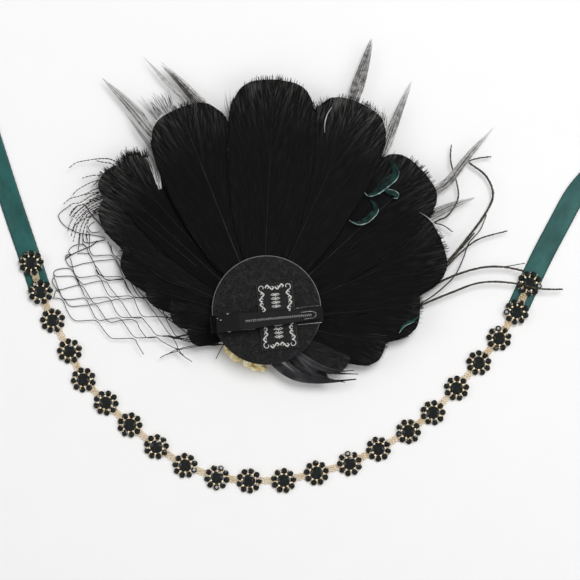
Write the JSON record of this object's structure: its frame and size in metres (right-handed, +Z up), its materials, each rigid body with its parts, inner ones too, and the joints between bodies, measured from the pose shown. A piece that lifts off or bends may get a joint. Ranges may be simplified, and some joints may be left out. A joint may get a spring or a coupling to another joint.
{
  "type": "flapper feather headband",
  "caption": "Feather headband laid flat: jewelled rosette band on satin ribbon ties, and its clip-on fan of black feathers with veil, lying face down with the sprung clip uppermost.",
  "frame": {"origin": "on the resting surface, under the middle of the whole outline's box", "axes": "+X across the headband from the left ribbon tie to the right one, +Y from the band's curve towards the feather tips, +Z up out of the surface"},
  "size_m": [0.314, 0.2254, 0.0259],
  "materials": {
    "rhinestone": "near-black green faceted glass in gold-plated cups",
    "gold": "bright gold plating",
    "satin": "teal-green satin",
    "black_feather": "dyed black feather, soft sheen",
    "smoke_feather": "thin see-through black hackle",
    "barred_feather": "light strands barred with black",
    "bronze_herl": "dark bronze fuzz",
    "net": "black millinery net",
    "green_feather": "dyed deep teal feather",
    "felt": "black felt with a paler cut edge",
    "label": "black woven tape with a white scroll border",
    "black_steel": "black painted spring steel",
    "steel": "plain drawn wire"
  },
  "bodies": {
    "root": {"rosette_01": "rhinestone", "rosette_02": "rhinestone", "rosette_03": "rhinestone", "rosette_04": "rhinestone", "rosette_05": "rhinestone", "rosette_06": "rhinestone", "rosette_07": "rhinestone", "rosette_08": "rhinestone", "rosette_09": "rhinestone", "rosette_10": "rhinestone", "rosette_11": "rhinestone", "rosette_12": "rhinestone", "rosette_13": "rhinestone", "rosette_14": "rhinestone", "rosette_15": "rhinestone", "rosette_16": "rhinestone", "rosette_17": "rhinestone", "rosette_18": "rhinestone", "rosette_19": "rhinestone", "rosette_20": "rhinestone", "rosette_21": "rhinestone", "rosette_22": "rhinestone", "chain_link_01": "gold", "chain_link_02": "gold", "chain_link_03": "gold", "chain_link_04": "gold", "chain_link_05": "gold", "chain_link_06": "gold", "chain_link_07": "gold", "chain_link_08": "gold", "chain_link_09": "gold", "chain_link_10": "gold", "chain_link_11": "gold", "chain_link_12": "gold", "chain_link_13": "gold", "chain_link_14": "gold", "chain_link_15": "gold", "chain_link_16": "gold", "chain_link_17": "gold", "chain_link_18": "gold", "chain_link_19": "gold", "chain_link_20": "gold", "chain_link_21": "gold", "ribbon_left": "satin", "ribbon_right": "satin", "feather_fan": "black_feather", "hackle_spray": "smoke_feather", "barred_hackle": "barred_feather", "herl_spray": "bronze_herl", "veil_net": "net", "green_plume": "green_feather", "gold_brooch": "gold", "felt_disc": "felt", "clip_base": "black_steel", "clip_pin": "steel", "clip_spring": "steel", "woven_label": "label"},
    "lever": {"clip_lever": "black_steel"}
  },
  "joints": [
    {"name": "clip_lever_hinge", "type": "hinge", "parent": "root", "child": "lever", "pos_m": [-0.03044, -0.02738, 0.0178], "axis": [0.0958, -0.9954, 0], "range_deg": [0, 30], "stiffness_Nm_per_rad": 0.03, "springref_deg": -28.65}
  ]
}
